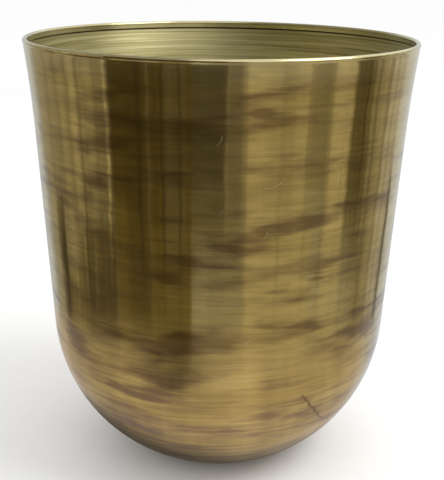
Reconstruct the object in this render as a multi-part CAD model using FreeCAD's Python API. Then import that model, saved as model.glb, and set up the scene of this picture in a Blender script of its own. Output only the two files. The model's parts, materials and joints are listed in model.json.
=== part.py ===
"""Brass planter pot, in millimetres.

A round, open-topped pot made of two spun sheets of brass: a wall that flares gently to the mouth,
and a bowl with a flat base.  The two stand edge to edge, and a ring of brazing metal joins them,
dressed flush outside and left as a low bead inside.  The wall's top edge is rolled inwards over a
steel wire, which stiffens the mouth.  Four felt pads keep the base off the floor.

The frame: +Z up, the origin on the pot's axis at the floor.
"""

import FreeCAD, Part
import os
from math import acos, cos, degrees, radians, sin, tan

# ---- driving dimensions ----
rim_diameter = 400.0       # over the rolled rim
overall_height = 450.0     # floor to the top of the rim
base_diameter = 130.0      # the flat underside of the bowl
sheet = 0.9                # thickness of both brass sheets

# rim
wire_diameter = 3.0
wire_clearance = 0.05      # between the wire and the sheet rolled over it
hem_depth = 7.1            # rim top to the sheet's cut edge inside the pot
bead_proud = 0.6           # how far the rolled rim stands out from the wall below it
bead_fillet = 4.0          # radius of the hollow under the rolled rim

# wall
flare_angle = 7.0          # degrees from upright, just below the rim
cone_angle = 3.4           # degrees from upright, down to the bowl
flare_height = 85.0        # height over which one becomes the other

# bowl
shoulder_end_angle = 64.0  # degrees from upright where the wide curve hands over to the knuckle
knuckle_radius = 40.0      # tighter curve into the flat base
dimple_diameter = 52.0     # raised disc in the middle of the base, left by the spinning lathe
dimple_height = 1.6
dimple_bend = 2.0          # bend radius at the dimple's foot and lip

# brazed seam between wall and bowl
seam_width = 2.0           # from edge to edge
seam_bead = 0.5            # height of the bead inside

# felt pads
pad_count = 4
pad_diameter = 22.0
pad_thickness = 2.0
pad_edge_round = 0.5
pad_inset = 6.0            # from the base's edge to the pad

# ---- sizes that follow ----
rim_radius = rim_diameter / 2
wire_radius = wire_diameter / 2
roll_radius = wire_radius + wire_clearance + sheet    # of the rim's show face
roll_centre_r = rim_radius - roll_radius
roll_centre_z = overall_height - roll_radius
mouth_radius = roll_centre_r - roll_radius            # the clear opening inside the hem
base_z = pad_thickness
base_radius = base_diameter / 2
pad_circle_radius = base_radius - pad_inset - pad_diameter / 2

AXIS = (FreeCAD.Vector(0, 0, 0), FreeCAD.Vector(0, 0, 1))
UP = 90                                # headings in a section, in degrees
DOWN_THE_CONE = -90 - cone_angle


def section_point(r, z):
    """A point of a section, which lies in the XZ plane."""
    return FreeCAD.Vector(r, 0, z)


def direction(heading):
    """Unit vector in the section plane; 0 degrees points away from the axis and 90 points up."""
    return FreeCAD.Vector(cos(radians(heading)), 0, sin(radians(heading)))


def line_edge(a, b):
    return Part.LineSegment(a, b).toShape()


def revolve(edges):
    """The solid that a closed section makes when it is turned once round the pot's axis."""
    return Part.Face(Part.Wire(edges)).revolve(*AXIS, 360).Solids[0]


class SheetPath:
    """A bent sheet seen edge-on.  It is drawn by walking along its show face, with the metal to the
    right of the walker."""

    def __init__(self, start, heading):
        self.point = start
        self.heading = heading
        self.show = []     # edges of the show face
        self.back = []     # edges of the other face
        self.start_back = self.back_point()

    def back_point(self):
        return self.point + direction(self.heading - 90) * sheet

    def line(self, length):
        before, before_back = self.point, self.back_point()
        self.point = before + direction(self.heading) * length
        self.show.append(line_edge(before, self.point))
        self.back.append(line_edge(before_back, self.back_point()))

    def line_to_height(self, z):
        self.line((z - self.point.z) / direction(self.heading).z)

    def bend(self, radius, turn):
        """Bends by turn degrees, positive to the left; radius is that of the show face."""
        side = 1 if turn > 0 else -1
        centre = self.point + direction(self.heading + 90 * side) * radius

        def on_arc(share, r):
            return centre - direction(self.heading + turn * share + 90 * side) * r

        for edges, r in ((self.show, radius), (self.back, radius + side * sheet)):
            edges.append(Part.Arc(on_arc(0, r), on_arc(0.5, r), on_arc(1, r)).toShape())
        self.point = on_arc(1, radius)
        self.heading += turn

    def solid(self):
        near = line_edge(self.start_back, self.show[0].Vertexes[0].Point)
        far = line_edge(self.point, self.back_point())
        return revolve([near] + self.show + [far] + self.back[::-1])


def rim_and_flare():
    """The wall's sheet from the cut edge of its hem, over the wire and down to the flare's foot."""
    bead_angle = degrees(acos(cos(radians(flare_angle)) - bead_proud / (roll_radius + bead_fillet)))
    flare_radius = flare_height / (sin(radians(flare_angle)) - sin(radians(cone_angle)))
    path = SheetPath(section_point(mouth_radius, overall_height - hem_depth), UP)
    path.line_to_height(roll_centre_z)
    path.bend(roll_radius, -(180 + bead_angle))
    path.bend(bead_fillet, bead_angle - flare_angle)
    path.bend(flare_radius, flare_angle - cone_angle)
    return path


def shoulder_radius():
    """Radius of the bowl's wide curve, which carries the wall's cone on to the knuckle."""
    flare_foot = rim_and_flare().point
    cone, end = radians(cone_angle), radians(shoulder_end_angle)
    drop = flare_foot.z - base_z - knuckle_radius * (1 - sin(end))
    reach = flare_foot.x - drop * tan(cone) - knuckle_radius * cos(end) - base_radius
    return reach / ((cos(cone) - cos(end)) - (sin(end) - sin(cone)) * tan(cone))


def seam_height(shoulder):
    """Height where the bowl's wide curve starts."""
    cone, end = radians(cone_angle), radians(shoulder_end_angle)
    return base_z + knuckle_radius * (1 - sin(end)) + shoulder * (sin(end) - sin(cone))


def wall_path(shoulder):
    """The wall's sheet; its lower edge stands a seam's width above the bowl."""
    path = rim_and_flare()
    path.line_to_height(seam_height(shoulder) + seam_width * cos(radians(cone_angle)))
    return path


def bowl_path(rim_point, shoulder):
    """The bowl's sheet: wide curve, knuckle, base and dimple."""
    dimple_turn = degrees(acos(1 - dimple_height / (2 * dimple_bend)))
    path = SheetPath(rim_point, DOWN_THE_CONE)
    path.bend(shoulder, -(shoulder_end_angle - cone_angle))
    path.bend(knuckle_radius, -(90 - shoulder_end_angle))
    path.line(path.point.x - dimple_diameter / 2)
    path.bend(dimple_bend, -dimple_turn)
    path.bend(dimple_bend, dimple_turn)
    path.line(path.point.x)
    return path


def seam_braze(wall, bowl):
    """Brazing metal between the wall's edge and the bowl's, flush outside, with a bead inside."""
    wall_inside, bowl_inside = wall.back_point(), bowl.start_back
    crest = (wall_inside + bowl_inside) / 2 + direction(DOWN_THE_CONE - 90) * seam_bead
    bowl_outside = bowl.show[0].Vertexes[0].Point
    return revolve([
        line_edge(bowl_outside, wall.point),
        line_edge(wall.point, wall_inside),
        Part.Arc(wall_inside, crest, bowl_inside).toShape(),
        line_edge(bowl_inside, bowl_outside),
    ])


def rim_wire():
    ring = Part.makeTorus(roll_centre_r, wire_radius)
    ring.translate(FreeCAD.Vector(0, 0, roll_centre_z))
    return ring


def foot_pad(index):
    """One felt disc under the base; its lower edge is slightly rounded."""
    angle = radians(45 + 360 * index / pad_count)
    place = FreeCAD.Vector(pad_circle_radius * cos(angle), pad_circle_radius * sin(angle), 0)
    pad = Part.makeCylinder(pad_diameter / 2, pad_thickness, place)
    lower_edge = [e for e in pad.Edges if abs(e.BoundBox.ZMax) < pad_thickness / 100]
    return pad.makeFillet(pad_edge_round, lower_edge)


def build():
    shoulder = shoulder_radius()
    wall = wall_path(shoulder)
    bowl = bowl_path(wall.point + direction(DOWN_THE_CONE) * seam_width, shoulder)
    nodes = {
        "wall_shell": wall.solid(),
        "bottom_bowl": bowl.solid(),
        "seam_braze": seam_braze(wall, bowl),
        "rim_wire": rim_wire(),
    }
    for index in range(pad_count):
        nodes[f"foot_pad_{index + 1}"] = foot_pad(index)
    return nodes


def export(nodes):
    os.makedirs("parts", exist_ok=True)
    for name, shape in nodes.items():
        if not shape.isValid() or not shape.Solids:
            raise ValueError(f"{name} is not a valid solid")
        shape.exportStep(f"parts/{name}.step")
        print(f"{name}: {shape.Volume:.0f} mm3")
    print(f"mouth radius {mouth_radius:.2f}, pad circle radius {pad_circle_radius:.2f}")


export(build())
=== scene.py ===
"""Brass planter pot: spun brass wall and bowl, wired rim, brazed seam and felt pads, in metres."""

import json
from math import acos, cos, degrees, pi, radians, sin, tan

import bpy
from mathutils import Euler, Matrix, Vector


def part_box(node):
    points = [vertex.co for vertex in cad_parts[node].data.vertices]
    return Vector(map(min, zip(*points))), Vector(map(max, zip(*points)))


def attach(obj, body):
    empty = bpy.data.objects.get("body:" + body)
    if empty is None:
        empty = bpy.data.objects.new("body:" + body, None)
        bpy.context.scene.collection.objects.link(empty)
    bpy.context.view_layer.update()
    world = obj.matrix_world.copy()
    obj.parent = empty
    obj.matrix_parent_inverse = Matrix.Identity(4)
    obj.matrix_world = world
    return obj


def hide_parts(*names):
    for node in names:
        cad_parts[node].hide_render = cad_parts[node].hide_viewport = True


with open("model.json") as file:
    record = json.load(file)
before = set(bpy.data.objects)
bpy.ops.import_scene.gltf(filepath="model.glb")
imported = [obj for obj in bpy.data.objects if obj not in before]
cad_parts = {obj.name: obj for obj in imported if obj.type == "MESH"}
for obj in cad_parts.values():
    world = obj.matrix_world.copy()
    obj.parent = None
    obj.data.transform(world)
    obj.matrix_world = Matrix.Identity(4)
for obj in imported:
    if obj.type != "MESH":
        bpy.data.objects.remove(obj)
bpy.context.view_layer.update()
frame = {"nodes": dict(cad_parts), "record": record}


# ---------------------------------------------------------------- sizes read from the frame

wall_low, wall_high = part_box("wall_shell")
bowl_low, bowl_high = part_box("bottom_bowl")
wire_low, wire_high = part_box("rim_wire")
mouth = next(m for m in frame["record"]["mounts"] if m["name"] == "mouth")

rim_top = wall_high.z
rim_radius = wall_high.x
base_height = bowl_low.z                 # underside of the flat base, on the felt
seam_top = wall_low.z                    # the wall's cut edge
bowl_edge_top = bowl_high.z              # highest point of the bowl's cut edge, on its inner side
wire_radius = (wire_high.z - wire_low.z) / 2
roll_centre_r = wire_high.x - wire_radius
roll_radius = rim_radius - roll_centre_r
mouth_radius = mouth["dims"]["r_mm"] / 1000
hem_foot = mouth["pos_m"][2] - mouth["dims"]["length_mm"] / 2000
wall_middle = (rim_top + seam_top) / 2

# ---------------------------------------------------------------- sizes of the sheet work

sheet = 0.0009
bead_proud = 0.0006                      # the rolled rim stands out this far
bead_fillet = 0.004
flare_angle = 7.0                        # degrees from upright, under the rim
cone_angle = 3.4                         # degrees from upright, down to the bowl
flare_height = 0.085
shoulder_end_angle = 64.0                # where the bowl's wide curve meets the knuckle
knuckle_radius = 0.040
base_radius = 0.065
dimple_radius = 0.026
dimple_height = 0.0016
dimple_bend = 0.002
seam_bead = 0.0005
groove_depth = 0.00006                   # the spinning grooves inside
groove_pitch = 0.0045
unevenness = 0.0004                      # how far the hand finishing strays from round
pad_edge_round = 0.0005

hem_length = rim_top - roll_radius - hem_foot             # the upright strip inside the mouth
hem_and_roll = hem_length + roll_radius * pi / 2          # the sheet from its cut edge to the rim's top
run_azimuth = 34.5                       # degrees to the right of the front
run_height = 0.102

UP = 90.0
DOWN_THE_CONE = -90.0 - cone_angle
FULL_TURN = 2 * pi


# ---------------------------------------------------------------- node trees as Python

class Wire:
    """An output of a node.  + - * / between wires and numbers add Math nodes."""

    def __init__(self, board, socket):
        self.board = board
        self.socket = socket

    def __add__(self, other):
        return self.board.math("ADD", self, other)

    def __radd__(self, other):
        return self.board.math("ADD", other, self)

    def __sub__(self, other):
        return self.board.math("SUBTRACT", self, other)

    def __rsub__(self, other):
        return self.board.math("SUBTRACT", other, self)

    def __mul__(self, other):
        return self.board.math("MULTIPLY", self, other)

    def __rmul__(self, other):
        return self.board.math("MULTIPLY", other, self)

    def __truediv__(self, other):
        return self.board.math("DIVIDE", self, other)


class Board:
    """A shader or geometry tree being wired up."""

    def __init__(self, tree):
        self.tree = tree

    def put(self, socket, value):
        if isinstance(value, Wire):
            self.tree.links.new(value.socket, socket)
        else:
            socket.default_value = value

    def node(self, kind, settings=None, output=0, **values):
        """Adds a node: settings first, then its inputs by name (spaces as _) or as in_0, in_1."""
        made = self.tree.nodes.new(kind)
        for name, value in (settings or {}).items():
            setattr(made, name, value)
        for key, value in values.items():
            if key.startswith("in_"):
                self.put(made.inputs[int(key[3:])], value)
            else:
                wanted = key.replace("_", " ")
                self.put(next(s for s in made.inputs if s.name == wanted and s.enabled), value)
        if isinstance(output, str):
            return Wire(self, next(s for s in made.outputs if s.name == output and s.enabled))
        return Wire(self, made.outputs[output])

    def math(self, operation, *values):
        return self.node("ShaderNodeMath", {"operation": operation},
                         **{f"in_{i}": value for i, value in enumerate(values)})

    def between(self, value, low, high):
        """0 below low, 1 above high, and smooth in between."""
        return self.node("ShaderNodeMapRange", {"interpolation_type": "SMOOTHSTEP"},
                         Value=value, From_Min=low, From_Max=high)

    def near(self, value, middle, reach):
        """1 at middle, falling to 0 at a distance of reach."""
        return 1 - self.between(self.math("ABSOLUTE", value - middle), 0.0, reach)

    def point(self, x, y, z):
        return self.node("ShaderNodeCombineXYZ", X=x, Y=y, Z=z)

    def split(self, vector):
        """The x, y and z of a vector."""
        parts = self.node("ShaderNodeSeparateXYZ", Vector=vector).socket.node.outputs
        return [Wire(self, parts[axis]) for axis in "XYZ"]

    def mix(self, below, above, share):
        """Colour: above laid over below by share."""
        return self.node("ShaderNodeMix", {"data_type": "RGBA"}, output="Result",
                         Factor=share, A=below, B=above)

    def noise(self, place, scale=1.0, detail=2.0, roughness=0.5):
        return self.node("ShaderNodeTexNoise", {"noise_dimensions": "3D"},
                         Vector=place, Scale=scale, Detail=detail, Roughness=roughness)


# ---------------------------------------------------------------- outlines of bent sheet

def direction(heading):
    """Unit step in a section; 0 degrees points away from the axis and 90 points up."""
    return Vector((cos(radians(heading)), sin(radians(heading))))


class Outline:
    """Half of a section, walked along its show face with the metal to the right.

    Each stop holds the show point, the back point across the sheet and the distance walked."""

    def __init__(self, start, heading, walked=0.0):
        self.point = Vector(start)
        self.heading = heading
        self.walked = walked
        self.stops = []
        self.mark()

    def mark(self):
        across = direction(self.heading - 90) * sheet
        self.stops.append((self.point.copy(), self.point + across, self.walked))

    def line(self, length, step):
        count = max(1, round(length / step))
        for _ in range(count):
            self.point = self.point + direction(self.heading) * (length / count)
            self.walked += length / count
            self.mark()

    def line_to_height(self, z, step):
        self.line((z - self.point.y) / direction(self.heading).y, step)

    def bend(self, radius, turn, step):
        """Turns by some degrees, positive to the left, about the show face's own radius."""
        side = 1 if turn > 0 else -1
        centre = self.point + direction(self.heading + 90 * side) * radius
        length = abs(radians(turn)) * radius
        count = max(2, round(length / step))
        for _ in range(count):
            self.heading += turn / count
            self.walked += length / count
            self.point = centre - direction(self.heading + 90 * side) * radius
            self.mark()


def rim_and_flare(step):
    """The wall's sheet from the hem's cut edge, over the wire and down to the flare's foot."""
    bead_angle = degrees(acos(cos(radians(flare_angle)) - bead_proud / (roll_radius + bead_fillet)))
    flare_radius = flare_height / (sin(radians(flare_angle)) - sin(radians(cone_angle)))
    path = Outline((mouth_radius, hem_foot), UP)
    path.line_to_height(rim_top - roll_radius, step=0.0006)
    path.bend(roll_radius, -(180 + bead_angle), step=0.0005)
    path.bend(bead_fillet, bead_angle - flare_angle, step=0.0005)
    path.bend(flare_radius, flare_angle - cone_angle, step)
    return path


def wall_outline(step):
    path = rim_and_flare(step)
    path.line_to_height(seam_top, step)
    return path


def shoulder_radius():
    """Radius of the bowl's wide curve from the cone to the knuckle."""
    foot = rim_and_flare(OUTER_STEP).point
    cone, end = radians(cone_angle), radians(shoulder_end_angle)
    drop = foot.y - base_height - knuckle_radius * (1 - sin(end))
    reach = foot.x - drop * tan(cone) - knuckle_radius * cos(end) - base_radius
    return reach / ((cos(cone) - cos(end)) - (sin(end) - sin(cone)) * tan(cone))


def bowl_outline(step):
    """The bowl's sheet from its cut edge, round the knuckle and over the dimple to the axis."""
    dimple_turn = degrees(acos(1 - dimple_height / (2 * dimple_bend)))
    wall = wall_outline(OUTER_STEP)
    down = direction(DOWN_THE_CONE)
    edge_height = bowl_edge_top - sheet * sin(radians(cone_angle))
    gap = (edge_height - seam_top) / down.y
    path = Outline(wall.point + down * gap, DOWN_THE_CONE, wall.walked + gap)
    path.bend(shoulder_radius(), -(shoulder_end_angle - cone_angle), step)
    path.bend(knuckle_radius, -(90 - shoulder_end_angle), step)
    path.line(path.point.x - dimple_radius, step)
    path.bend(dimple_bend, -dimple_turn, step=0.0004)
    path.bend(dimple_bend, dimple_turn, step=0.0004)
    path.line(path.point.x, step)
    return path


OUTER_STEP = 0.004                       # spacing of the rings on the plain outside
GROOVE_STEP = 0.0010                     # and on the inside, which carries the spinning grooves
SEAM_STEPS = 6                           # rings across the brazed seam
WALL_SEGMENTS = 192                      # facets round the wall, bowl and seam
PAD_SEGMENTS = 64
PAD_STEPS = 24                           # rings across a felt pad's faces


def sheet_section(outline):
    """A sheet's whole section as a closed loop: (r, z, distance from the hem, 1 on the inside)."""
    show = [(p.x, p.y, walked, 0.0) for p, _, walked in outline(OUTER_STEP).stops]
    back = [(p.x, p.y, walked, 1.0) for _, p, walked in reversed(outline(GROOVE_STEP).stops)]
    return show + back + show[:1]


def seam_section():
    """The brazed seam between the two cut edges: flush outside, a low bead inside."""
    above = wall_outline(OUTER_STEP).stops[-1]
    below = bowl_outline(OUTER_STEP).stops[0]
    outside, inside = [], []
    for i in range(SEAM_STEPS + 1):
        share = i / SEAM_STEPS
        walked = above[2] + (below[2] - above[2]) * share
        out = above[0].lerp(below[0], share)
        into = below[1].lerp(above[1], share)
        into = into + direction(DOWN_THE_CONE - 90) * seam_bead * 4 * share * (1 - share)
        outside.append((out.x, out.y, walked, 0.0))
        inside.append((into.x, into.y, below[2] + (above[2] - below[2]) * share, 1.0))
    return outside + inside + outside[:1]


def pad_section(radius, thickness, edge_round):
    """A felt disc about its own centre, with a soft lower edge and a faintly dished sole."""
    dish = thickness * 0.06
    rings = range(PAD_STEPS)
    sole = [(radius * i / PAD_STEPS, dish * (1 - (i / PAD_STEPS) ** 2)) for i in rings]
    sole = [(r * (1 - edge_round / radius), z) for r, z in sole]
    turn = [(radius - edge_round * (1 - sin(a)), edge_round * (1 - cos(a)))
            for a in (pi / 2 * i / 8 for i in range(9))]
    side = [(radius, edge_round + (thickness - edge_round) * i / 6) for i in range(1, 7)]
    top = [(radius * (1 - i / PAD_STEPS), thickness) for i in range(1, PAD_STEPS + 1)]
    return [(r, z, r, 0.0) for r, z in sole + turn + side + top]


# ---------------------------------------------------------------- turning outlines into pieces

def lathe_tree():
    """Turns a section about an upright axis, then adds the spinner's grooves and uneven hand."""
    tree = bpy.data.node_groups.new("turn_section", "GeometryNodeTree")
    for name, kind in (("Section", "Geometry"), ("Segments", "Int"), ("Groove Depth", "Float"),
                       ("Groove Pitch", "Float"), ("Unevenness", "Float"), ("Centre", "Vector"),
                       ("Rim Height", "Float"), ("Base Height", "Float"),
                       ("Show Face", "Material"), ("Inner Face", "Material")):
        tree.interface.new_socket(name, in_out="INPUT", socket_type="NodeSocket" + kind)
    tree.interface.new_socket("Turned", in_out="OUTPUT", socket_type="NodeSocketGeometry")
    b = Board(tree)

    def given(name):
        return b.node("NodeGroupInput", output=name)

    def stored(geometry, name, kind, domain, value):
        return b.node("GeometryNodeStoreNamedAttribute", {"data_type": kind, "domain": domain},
                      Geometry=geometry, Name=name, Value=value)

    def attribute(name):
        return b.node("GeometryNodeInputNamedAttribute", {"data_type": "FLOAT"}, Name=name)

    section = given("Section")
    segments = given("Segments")
    rows = b.node("GeometryNodeAttributeDomainSize", {"component": "MESH"}, Geometry=section)
    grid = b.tree.nodes.new("GeometryNodeMeshGrid")
    b.put(grid.inputs["Vertices X"], segments + 1)
    b.put(grid.inputs["Vertices Y"], rows)
    mesh = stored(Wire(b, grid.outputs["Mesh"]), "OFBake", "FLOAT2", "CORNER",
                  Wire(b, grid.outputs["UV Map"]))
    index = b.node("GeometryNodeInputIndex")
    column = b.math("FLOOR", index / rows)
    row = index - column * rows

    def sampled(kind, value):
        return b.node("GeometryNodeSampleIndex", {"data_type": kind, "domain": "POINT"},
                      Geometry=section, Value=value, Index=row)

    radius, _, height = b.split(sampled("FLOAT_VECTOR", b.node("GeometryNodeInputPosition")))
    turn = column / segments * FULL_TURN
    mesh = stored(mesh, "walked", "FLOAT", "POINT", sampled("FLOAT", attribute("walked")))
    mesh = stored(mesh, "inside", "FLOAT", "POINT", sampled("FLOAT", attribute("inside")))
    place = b.point(radius * b.math("SINE", turn), radius * b.math("COSINE", turn), height)
    mesh = b.node("GeometryNodeSetPosition", Geometry=mesh, Position=place)
    mesh = b.node("GeometryNodeMergeByDistance", Geometry=mesh, Distance=1e-6)
    lone_edge = b.node("FunctionNodeCompare", {"data_type": "INT", "operation": "EQUAL"},
                       A=b.node("GeometryNodeInputMeshEdgeNeighbors"), B=0)
    mesh = b.node("GeometryNodeDeleteGeometry", {"domain": "EDGE"}, Geometry=mesh, Selection=lone_edge)

    # the two hand-made touches
    x, y, z = b.split(b.node("GeometryNodeInputPosition"))
    walked, inside = attribute("walked"), attribute("inside")
    pitch = given("Groove Pitch")
    spiral = b.math("SINE", (walked / pitch + b.math("ARCTAN2", y, x) / FULL_TURN) * FULL_TURN)
    chatter = b.noise(b.point(x * 2.5, y * 2.5, walked / pitch * 0.8), detail=3.0, roughness=0.6) - 0.5
    below_hem = 1 - b.between(z, given("Rim Height") - 0.014, given("Rim Height") - 0.008)
    groove = given("Groove Depth") * inside * below_hem * (spiral * 0.3 + chatter * 2.2)
    push = b.node("ShaderNodeVectorMath", {"operation": "SCALE"},
                  Vector=b.node("GeometryNodeInputNormal"), Scale=groove)
    mesh = b.node("GeometryNodeSetPosition", Geometry=mesh, Offset=push)
    soft = b.noise(b.point(x, y, z), scale=9.0, detail=1.0)
    stiff_ends = b.between(z, given("Base Height") + 0.01, given("Base Height") + 0.07) \
        * (1 - b.between(z, given("Rim Height") - 0.06, given("Rim Height") - 0.01))
    dent = given("Unevenness") * soft * stiff_ends * -1
    outward = b.node("ShaderNodeVectorMath", {"operation": "NORMALIZE"}, Vector=b.point(x, y, 0.0))
    push = b.node("ShaderNodeVectorMath", {"operation": "SCALE"}, Vector=outward, Scale=dent)
    mesh = b.node("GeometryNodeSetPosition", Geometry=mesh, Offset=push)
    mesh = b.node("GeometryNodeSetPosition", Geometry=mesh, Offset=given("Centre"))

    # crisp cut edges, smooth everything else
    mesh = b.node("GeometryNodeSetShadeSmooth", {"domain": "FACE"}, Geometry=mesh, Shade_Smooth=True)
    crease = b.node("FunctionNodeCompare", {"data_type": "FLOAT", "operation": "GREATER_THAN"},
                    A=b.node("GeometryNodeInputMeshEdgeAngle"), B=radians(50))
    mesh = b.node("GeometryNodeSetShadeSmooth", {"domain": "EDGE"}, Geometry=mesh,
                  Selection=crease, Shade_Smooth=False)
    mesh = b.node("GeometryNodeRealizeInstances", Geometry=mesh)
    mesh = b.node("GeometryNodeSetMaterial", Geometry=mesh, Material=given("Show Face"))
    wholly_inside = b.node("FunctionNodeCompare", {"data_type": "FLOAT", "operation": "GREATER_THAN"},
                           A=inside, B=0.5)
    mesh = b.node("GeometryNodeSetMaterial", Geometry=mesh, Selection=wholly_inside,
                  Material=given("Inner Face"))
    out = tree.nodes.new("NodeGroupOutput")
    b.put(out.inputs["Turned"], mesh)
    return tree


def turned(name, section, values):
    """A plain mesh piece made by the lathe tree from a section's (r, z, walked, inside) points."""
    line = bpy.data.meshes.new(name + "_section")
    line.from_pydata([(r, 0.0, z) for r, z, _, _ in section], [], [])
    for column, key in ((2, "walked"), (3, "inside")):
        layer = line.attributes.new(key, "FLOAT", "POINT")
        layer.data.foreach_set("value", [stop[column] for stop in section])
    piece = bpy.data.objects.new(name, line)
    bpy.context.scene.collection.objects.link(piece)
    modifier = piece.modifiers.new("turn", "NODES")
    modifier.node_group = LATHE
    for item in LATHE.interface.items_tree:
        if item.item_type == "SOCKET" and item.in_out == "INPUT" and item.name in values:
            modifier[item.identifier] = values[item.name]
    scene_state = bpy.context.evaluated_depsgraph_get()
    mesh = bpy.data.meshes.new_from_object(piece.evaluated_get(scene_state),
                                           preserve_all_data_layers=True, depsgraph=scene_state)
    piece.modifiers.clear()
    piece.data = mesh
    mesh.name = name
    return piece


LATHE = lathe_tree()


# ---------------------------------------------------------------- finishes

class Finish(Board):
    """A new material with one Principled shader; what varies over the surface goes in by feed()."""

    def __init__(self, name, **constants):
        self.material = bpy.data.materials.new(name)
        self.material.use_nodes = True
        super().__init__(self.material.node_tree)
        self.tree.nodes.clear()
        self.shader = self.tree.nodes.new("ShaderNodeBsdfPrincipled")
        out = self.tree.nodes.new("ShaderNodeOutputMaterial")
        self.tree.links.new(self.shader.outputs[0], out.inputs["Surface"])
        for key, value in constants.items():
            self.shader.inputs[key.replace("_", " ")].default_value = value

    def feed(self, **wires):
        for key, wire in wires.items():
            self.put(self.shader.inputs[key.replace("_", " ")], wire)

    def bump(self, height, distance):
        return self.node("ShaderNodeBump", Height=height, Distance=distance)

    def object_place(self):
        """x, y and z in metres."""
        return self.split(self.node("ShaderNodeTexCoord", output="Object"))

    def attribute(self, name):
        return self.node("ShaderNodeAttribute", {"attribute_name": name}, output="Fac")


def rgb(red, green, blue):
    return (red, green, blue, 1.0)


DEEP_GOLD = rgb(0.56, 0.43, 0.145)
PALE_GOLD = rgb(0.68, 0.53, 0.20)
WALL_STAIN = rgb(0.210, 0.130, 0.050)
BOWL_STAIN = rgb(0.28, 0.18, 0.125)
BRUSH_LINE = rgb(0.36, 0.25, 0.10)
PALE_RIM_BAND = rgb(0.86, 0.76, 0.46)
DARK_RUN = rgb(0.15, 0.085, 0.035)
BRIGHT_SCRATCH = rgb(0.86, 0.78, 0.52)
BARE_HEM = rgb(0.68, 0.62, 0.34)
HEM_PAINTED_SHADE = rgb(0.30, 0.25, 0.11)


def antiqued_brass():
    """Outside: brushed round the pot, wiped with brown antiquing that clings in streaks, lacquered."""
    f = Finish("antiqued_brass", Metallic=1.0, Anisotropic=0.96, Anisotropic_Rotation=0.25,
               Coat_Weight=0.38, Coat_Roughness=0.06)
    x, y, z = f.object_place()
    walked = f.attribute("walked")
    sway = f.noise(f.point(x / 0.16, y / 0.16, z / 0.12), detail=1.0)
    level = walked + sway * 0.010

    def streaks(length, width, **more):
        return f.noise(f.point(x / length, y / length, level / width), **more)

    cloud = f.between(streaks(0.14, 0.05, detail=2.0), 0.38, 0.60)
    smears = f.between(streaks(0.070, 0.018, detail=3.0, roughness=0.45), 0.44, 0.68)
    strokes = f.between(streaks(0.075, 0.0065, detail=2.0), 0.45, 0.70)
    wisps = f.between(streaks(0.060, 0.0022, detail=2.0), 0.40, 0.75)
    brush = streaks(0.090, 0.0012, detail=2.0, roughness=0.6)
    low = 1 - f.between(z, 0.06, 0.20)
    wiped = f.between(walked, hem_and_roll + 0.0015, hem_and_roll + 0.0040)
    swipes = f.between(streaks(0.110, 0.010, detail=2.0), 0.46, 0.66) * low
    brown = smears * (0.34 + cloud * 0.60) + strokes * (0.12 + cloud * 0.25 + low * 0.22) \
        + wisps * (0.15 + low * 0.06) + swipes * 0.35
    # a band from 8 to 30 mm below the rim's top is made paler, with less brown staining
    near_rim = 1 - f.between(walked, hem_and_roll + 0.008, hem_and_roll + 0.030)
    brown = f.math("MINIMUM", brown, 1.0) * wiped * (1 - near_rim * 0.5)
    tone = f.between(streaks(0.16, 0.03, detail=2.0), 0.30, 0.70)
    gold = f.mix(DEEP_GOLD, PALE_GOLD, tone)
    stain = f.mix(WALL_STAIN, BOWL_STAIN, low)
    colour = f.mix(gold, stain, brown * 0.90)
    colour = f.mix(colour, BRUSH_LINE, f.between(brush, 0.50, 0.68) * (0.26 + low * 0.20))
    colour = f.mix(colour, PALE_RIM_BAND, near_rim * 0.30)
    mark = lacquer_run(f, x, y, z)
    colour = f.mix(colour, DARK_RUN, mark * 0.75)
    scratch = fine_scratches(f, x, y, z) * wiped
    colour = f.mix(colour, BRIGHT_SCRATCH, scratch * 0.28)
    # painted shade: a darker band across the middle of the hem, standing in for the dark stripe in its
    # reflection
    painted_hem_shade = f.near(walked, hem_length, 0.0018)
    plain = f.mix(BARE_HEM, HEM_PAINTED_SHADE, painted_hem_shade * 0.6)
    colour = f.mix(plain, colour, wiped)
    ripple = f.noise(f.point(x / 0.045, y / 0.045, z / 0.030), detail=1.0)
    chatter = f.noise(f.point(x / 0.020, y / 0.020, level / 0.004), detail=1.0)
    roughness = 0.26 + (brush * 0.04 + brown * 0.05 - 0.135) * wiped + scratch * 0.15
    f.feed(Base_Color=colour, Roughness=roughness,
           Normal=f.bump(ripple + chatter * 0.12 + brush * 0.04, distance=0.0004))
    return f.material


def lacquer_run(f, x, y, z):
    """One thin wandering run in the lacquer, low on the bowl at the front right."""
    sideways = x * cos(radians(run_azimuth)) + y * sin(radians(run_azimuth))
    wander = f.noise(f.point(0.0, 0.0, z), scale=105.0, detail=1.0) - 0.5
    on_line = f.near(sideways - wander * 0.014 + (z - run_height) * 0.9, 0.0, 0.0034)
    front = f.between(y * -1, 0.02, 0.04)
    return on_line * f.between(f.near(z, run_height, 0.029), 0.0, 0.3) * front


def fine_scratches(f, x, y, z):
    """Short hairline scratches, scattered thinly."""
    lines = f.noise(f.point(x + z * 0.3, y + z * 0.2, z - x * 0.2), scale=16.0, detail=1.0)
    here = f.noise(f.point(x, y, z), scale=34.0, detail=1.0)
    return f.near(lines, 0.5, 0.0022) * f.between(here, 0.62, 0.68)


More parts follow.
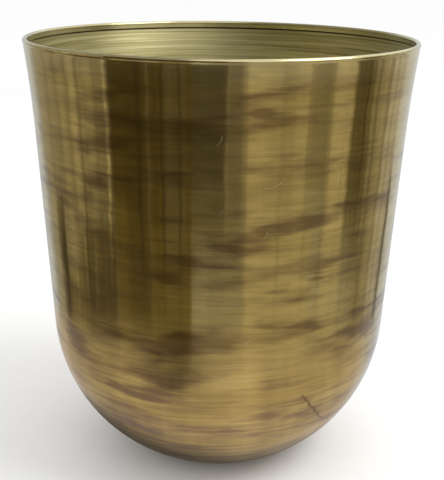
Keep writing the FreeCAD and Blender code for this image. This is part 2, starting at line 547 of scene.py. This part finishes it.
def spun_brass():
    """Inside: satin metal straight off the lathe, with a dark line of painted shade and tarnish under the
    hem.
    """
    f = Finish("spun_brass", Metallic=1.0, Anisotropic=0.6, Anisotropic_Rotation=0.25,
               Coat_Weight=0.15, Coat_Roughness=0.25)
    x, y, z = f.object_place()
    walked = f.attribute("walked")
    ring = f.noise(f.point(x / 0.20, y / 0.20, walked / 0.0036), detail=3.0, roughness=0.6)
    fine = f.noise(f.point(x / 0.25, y / 0.25, walked / 0.0020), detail=2.0)
    metal = f.mix(rgb(0.50, 0.45, 0.21), rgb(0.71, 0.655, 0.37), f.between(ring, 0.34, 0.64))
    metal = f.mix(metal, rgb(0.27, 0.22, 0.09), f.between(fine, 0.55, 0.64) * 0.65)
    # painted shade, with some tarnish, in a thin dark line on the wall just under the hem's cut edge
    shade_and_tarnish_under_hem = f.between(z, hem_foot - 0.0022, hem_foot - 0.0014)
    colour = f.mix(metal, rgb(0.10, 0.05, 0.03), shade_and_tarnish_under_hem * 0.9)
    f.feed(Base_Color=colour, Roughness=0.38 + fine * 0.10 + shade_and_tarnish_under_hem * 0.3,
           Normal=f.bump(fine + ring * 2, distance=0.00012))
    return f.material


def braze_metal():
    f = Finish("braze_metal", Metallic=1.0)
    x, y, z = f.object_place()
    lumps = f.noise(f.point(x, y, z), scale=260.0, detail=3.0)
    f.feed(Base_Color=f.mix(rgb(0.34, 0.25, 0.10), rgb(0.62, 0.50, 0.24), lumps),
           Roughness=0.35 + lumps * 0.25, Normal=f.bump(lumps, distance=0.0002))
    return f.material


def drawn_steel():
    f = Finish("drawn_steel", Metallic=1.0)
    x, y, z = f.object_place()
    drag = f.noise(f.point(x / 0.03, y / 0.03, z / 0.0002), detail=2.0)
    f.feed(Base_Color=f.mix(rgb(0.22, 0.20, 0.18), rgb(0.5, 0.5, 0.5), drag), Roughness=0.3 + drag * 0.2)
    return f.material


def pressed_felt():
    f = Finish("pressed_felt", Roughness=0.95, Sheen_Weight=0.6, Sheen_Roughness=0.5)
    x, y, z = f.object_place()
    fibre = f.noise(f.point(x, y, z), scale=1400.0, detail=4.0, roughness=0.7)
    patch = f.noise(f.point(x, y, z), scale=160.0, detail=2.0)
    colour = f.mix(rgb(0.030, 0.022, 0.017), rgb(0.095, 0.072, 0.055), f.between(fibre, 0.3, 0.7))
    colour = f.mix(colour, rgb(0.05, 0.04, 0.03), patch * 0.6)
    f.feed(Base_Color=colour, Normal=f.bump(fibre, distance=0.0003))
    return f.material


# ---------------------------------------------------------------- the pot's pieces

def pot_pieces():
    outside, inside, braze, felt = antiqued_brass(), spun_brass(), braze_metal(), pressed_felt()
    hand = {"Segments": WALL_SEGMENTS, "Groove Depth": groove_depth, "Groove Pitch": groove_pitch,
            "Unevenness": unevenness, "Centre": (0.0, 0.0, 0.0), "Rim Height": rim_top,
            "Base Height": base_height, "Show Face": outside, "Inner Face": inside}
    sheets = {
        "spun_wall": (sheet_section(wall_outline), "wall_shell", "patinated_brass", {}),
        "spun_bowl": (sheet_section(bowl_outline), "bottom_bowl", "patinated_brass", {}),
        "brazed_seam": (seam_section(), "seam_braze", "braze_metal",
                        {"Groove Depth": 0.0, "Inner Face": braze}),
    }
    for name, (section, node, slot, changes) in sheets.items():
        piece = turned(name, section, {**hand, **changes})
        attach(piece, "root")
        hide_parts(node)
    for node in sorted(frame["nodes"]):
        if node.startswith("foot_pad"):
            low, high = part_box(node)
            size = high - low
            section = pad_section(size.x / 2, size.z, pad_edge_round)
            centre = ((low.x + high.x) / 2, (low.y + high.y) / 2, low.z)
            piece = turned(node.replace("foot", "felt"), section, {
                **hand, "Segments": PAD_SEGMENTS, "Groove Depth": 0.0, "Unevenness": 0.0, "Centre": centre,
                "Show Face": felt, "Inner Face": felt})
            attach(piece, "root")
            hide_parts(node)
    wire = frame["nodes"]["rim_wire"]
    wire.data.materials.clear()
    wire.data.materials.append(drawn_steel())


# ---------------------------------------------------------------- studio

CAMERA_LENS = 70.7                       # millimetres, on a sensor 36 wide
CAMERA_DISTANCE = 0.980                  # in front of the pot's axis
CAMERA_ABOVE_RIM = 0.0907
CAMERA_PITCH = 17.48                     # degrees down
CAMERA_YAW = -0.18                       # degrees, positive to the left
CAMERA_ROLL = 0.79                       # degrees


def add_camera():
    """Stands in front of the pot and looks down into its mouth."""
    data = bpy.data.cameras.new("camera")
    data.sensor_width = 36.0
    data.lens = CAMERA_LENS
    camera = bpy.data.objects.new("camera", data)
    camera.location = (0.0, -CAMERA_DISTANCE, rim_top + CAMERA_ABOVE_RIM)
    look = Euler((radians(90 - CAMERA_PITCH), 0.0, radians(CAMERA_YAW)), "XYZ").to_matrix()
    roll = Euler((0.0, 0.0, radians(CAMERA_ROLL)), "XYZ").to_matrix()
    camera.rotation_euler = (look @ roll).to_euler()
    bpy.context.scene.collection.objects.link(camera)
    bpy.context.scene.camera = camera


def plain_mesh(name, corners, faces, material):
    mesh = bpy.data.meshes.new(name)
    mesh.from_pydata(corners, [], faces)
    mesh.materials.append(material)
    made = bpy.data.objects.new(name, mesh)
    bpy.context.scene.collection.objects.link(made)
    return made


def add_floor():
    f = Finish("pale_floor", Roughness=0.7)
    x, y, z = f.object_place()
    grain = f.noise(f.point(x, y, z), scale=60.0, detail=3.0)
    f.feed(Base_Color=f.mix(rgb(0.86, 0.86, 0.86), rgb(0.89, 0.89, 0.89), grain))
    reach = 40.0
    corners = [(-reach, -reach, 0), (reach, -reach, 0), (reach, reach, 0), (-reach, reach, 0)]
    floor = plain_mesh("floor", corners, [(0, 1, 2, 3)], f.material)
    floor.visible_glossy = False


class Glow(Board):
    """A new material that only gives light."""

    def __init__(self, name):
        self.material = bpy.data.materials.new(name)
        self.material.use_nodes = True
        super().__init__(self.material.node_tree)
        self.tree.nodes.clear()

    def shine(self, colour, strength):
        light = self.node("ShaderNodeEmission", Color=colour, Strength=strength)
        out = self.tree.nodes.new("ShaderNodeOutputMaterial")
        self.put(out.inputs["Surface"], light)
        return self.material


def only_in_mirrors(thing):
    thing.visible_camera = False
    thing.visible_diffuse = False
    thing.visible_shadow = False


def add_card(name, azimuth, width, foot, head, strength, colour, distance):
    """An upright curved card round the pot that only mirrors see.  Azimuth 0 is behind the camera
    and positive to its right; foot and head are elevations from the middle of the pot's wall."""
    count = max(2, int(width / 6))
    angles = [radians(azimuth + width * (i / count - 0.5)) for i in range(count + 1)]
    heights = [wall_middle + distance * tan(radians(angle)) for angle in (foot, head)]
    corners = [(distance * sin(a), -distance * cos(a), z) for z in heights for a in angles]
    faces = [(i, i + 1, i + count + 2, i + count + 1) for i in range(count)]
    material = Glow(name).shine(rgb(*colour), strength)
    only_in_mirrors(plain_mesh(name, corners, faces, material))


GROUND_RADIUS = 0.48
GROUND_LIFT = 0.0005                     # just above the floor
POT_SHADOW_CENTRE = (-0.03, 0.02, 0.0)
GROUND_WARM = rgb(1.0, 0.89, 0.80)
GROUND_COOL = rgb(0.92, 0.97, 1.10)


def add_pale_ground():
    """What the bowl mirrors: a ground with light and shade of its own, dark under the pot."""
    b = Glow("pale_ground")
    place = b.node("ShaderNodeTexCoord", output="Object")
    away = b.node("ShaderNodeVectorMath", {"operation": "SUBTRACT"}, in_0=place, in_1=POT_SHADOW_CENTRE)
    reach = b.node("ShaderNodeVectorMath", {"operation": "LENGTH"}, output="Value", in_0=away)
    x, y, _ = b.split(place)
    towards = b.math("ARCTAN2", x, y * -1)
    left = b.near(towards, radians(-80), radians(60))
    shaded = b.near(towards, radians(-23), radians(25)) * b.between(reach, 0.29, 0.37)
    window = b.near(towards, radians(12), radians(16))
    behind_right = b.near(towards, radians(128), radians(52))
    patches = b.noise(b.point(towards * 5.0, 0.0, 0.0), detail=2.0) - 0.5
    open_floor = 0.54 - shaded * 0.40 - left * 0.10 + window * 0.10 \
        + behind_right * 0.12 + patches * 0.30
    lit = 0.10 + b.between(reach, 0.11, 0.19) * open_floor
    material = b.shine(b.mix(GROUND_WARM, GROUND_COOL, behind_right), lit)
    count = 64
    turns = [FULL_TURN * i / count for i in range(count)]
    corners = [(GROUND_RADIUS * cos(a), GROUND_RADIUS * sin(a), GROUND_LIFT) for a in turns]
    only_in_mirrors(plain_mesh("ground_in_mirrors", corners, [tuple(range(count))], material))


# The cards' places, sizes and strengths are given one by one, for the bands they give in the brass.

WARM = (1.0, 0.92, 0.74)
SHADE = (1.0, 0.80, 0.30)
PLAIN = (1.0, 0.97, 0.92)
COOL = (0.94, 0.97, 1.0)

WALLS = (
    # name, azimuth, width, foot, head, strength, colour
    ("back_left_wall", -160, 44, -50, 60, 0.62, COOL),
    ("left_reveal", -136, 8, -50, 60, 0.46, COOL),
    ("left_curtain", -114, 38, -50, 60, 0.36, WARM),
    ("left_curtain_lit", -92, 8, -50, 60, 0.46, WARM),
    ("left_curtain_fold", -81, 14, -50, 60, 0.40, WARM),
    ("left_wall", -70, 8, -31, 60, 0.30, WARM),
    ("left_corner", -62, 10, -34, 60, 0.15, SHADE),
    ("tall_cupboard", -48, 20, -35, 44, 0.10, SHADE),
    ("picture", -36, 8, -44, 36, 0.14, SHADE),
    ("lamp_glow", -26, 14, -44, 30, 0.17, WARM),
    ("door_edge", -17, 6, -25, 30, 0.13, SHADE),
    ("person", -6, 18, -23.5, 22, 0.036, SHADE),
    ("person_edge", 9, 12, -24, 20, 0.15, WARM),
    ("right_wall_bright", 20, 11, -30, 16, 0.42, WARM),
    ("right_wall", 31, 12, -26, 16, 0.28, WARM),
    ("right_gap", 40, 6, -26, 16, 0.20, WARM),
    ("right_frame", 46, 8, -26, 16, 0.34, WARM),
    ("right_door", 58, 16, -18.5, 16, 0.05, SHADE),
    ("right_blind", 72, 13, -24, 16, 0.50, WARM),
    ("right_shelf", 88, 19, -21.5, 16, 0.08, SHADE),
    ("far_right_wall", 104, 18, -40, 16, 0.36, WARM),
    ("far_right_light", 121, 18, -40, 16, 0.56, PLAIN),
    ("back_right_wall", 155, 52, -50, 20, 0.70, COOL),
)

IN_FRONT = (
    # name, azimuth, width, foot, head, strength, colour
    ("dark_doorway", -117, 10, -30, -17, 0.03, SHADE),
    ("left_rug", -93, 44, -38, -23, 0.12, SHADE),
    ("hall_shade", -30, 26, -36, -24, 0.20, SHADE),
    ("left_beam", -41.5, 49, -17.5, 30, 0.056, SHADE),
    ("middle_beam", -7.5, 19, -18, 30, 0.022, SHADE),
    ("hall_floor", -6, 22, -24, -22.5, 0.26, WARM),
    ("hall_rug", 4, 22, -45, -31.5, 0.22, WARM),
    ("right_sill", 72, 14, -25, -19.5, 0.62, WARM),
    ("left_ceiling", -105, 170, 29, 78, 0.36, PLAIN),
    ("right_clerestory", 31, 38, -13.5, 16, 0.62, WARM),
    ("right_floor", 37, 42, -31, -20.5, 0.56, WARM),
    ("right_fanlight", 58, 16, -13.0, 16, 0.36, WARM),
)

AT_THE_FRONT = (
    ("rug_shadow", -81, 30, -30, -20.5, 0.03, SHADE),
    ("right_post", 129, 4, -26, -14.5, 0.015, SHADE),
    ("left_glint", -68, 1.2, -19, -14, 1.30, WARM),
)

LINES = (
    # azimuth, width, strength of the thin upright lines
    (-128, 1.5, 0.45), (-119, 1.2, 0.20), (-108, 1.5, 0.24), (-103, 1.0, 0.50), (-97, 1.2, 0.16),
    (-92, 0.8, 0.60), (-88, 1.4, 0.04), (-83, 1.0, 0.26), (-75, 1.0, 0.12), (-66, 1.0, 0.30),
    (-47, 1.3, 0.01), (-41, 0.8, 0.20), (-37, 0.8, 0.02), (-33, 1.2, 0.008), (-28, 0.8, 0.14),
    (-23, 1.0, 0.02), (4, 0.8, 0.25), (13, 0.8, 0.30), (27, 0.8, 0.50), (35, 1.0, 0.20),
    (44, 0.8, 0.42), (52, 0.8, 0.28), (64, 1.0, 0.25), (75, 0.8, 0.30), (79, 1.2, 0.50),
    (84, 0.8, 0.25), (88, 0.8, 0.26), (90, 0.7, 0.03), (93, 1.2, 0.30), (96, 0.8, 0.30),
    (100, 2.0, 0.10), (107, 1.0, 0.55), (111, 1.5, 0.15), (118, 1.2, 0.20), (125, 1.2, 0.40),
)


SURROUND_DISTANCE = 2.8
CARD_LAYERS = ((2.6, WALLS), (2.5, IN_FRONT), (2.45, AT_THE_FRONT))
LINE_DISTANCE = 2.4
LINE_FOOT = -26                          # degrees of elevation
LINE_HEAD = 30


def add_room():
    """The dim room the brass mirrors: a pale surround, cards in front of it and thin lines on them."""
    add_card("surround", 0, 360, -70, 12, 0.48, PLAIN, SURROUND_DISTANCE)
    for distance, cards in CARD_LAYERS:
        for name, azimuth, width, foot, head, strength, colour in cards:
            add_card(name, azimuth, width, foot, head, strength, colour, distance)
    for azimuth, width, strength in LINES:
        add_card("line", azimuth, width, LINE_FOOT, LINE_HEAD, strength, WARM, LINE_DISTANCE)
    add_pale_ground()


KEY_PLACE = Vector((1.9, -0.7, 2.5))
KEY_AIM = Vector((0, 0, 0.3))
KEY_SIZE = 1.8
KEY_POWER = 45.0
SKY_STRENGTH = 1.1


def add_lights():
    """One soft lamp, high on the right, in an even white sky."""
    data = bpy.data.lights.new("key", "AREA")
    data.shape = "DISK"
    data.size = KEY_SIZE
    data.energy = KEY_POWER
    lamp = bpy.data.objects.new("key", data)
    lamp.location = KEY_PLACE
    lamp.rotation_euler = (KEY_PLACE - KEY_AIM).to_track_quat("Z", "Y").to_euler()
    bpy.context.scene.collection.objects.link(lamp)
    world = bpy.data.worlds.new("room")
    world.use_nodes = True
    bpy.context.scene.world = world
    background = world.node_tree.nodes["Background"]
    background.inputs["Color"].default_value = rgb(1, 1, 1)
    background.inputs["Strength"].default_value = SKY_STRENGTH


pot_pieces()
add_camera()
add_floor()
add_room()
add_lights()
bpy.context.scene.view_settings.view_transform = "Standard"
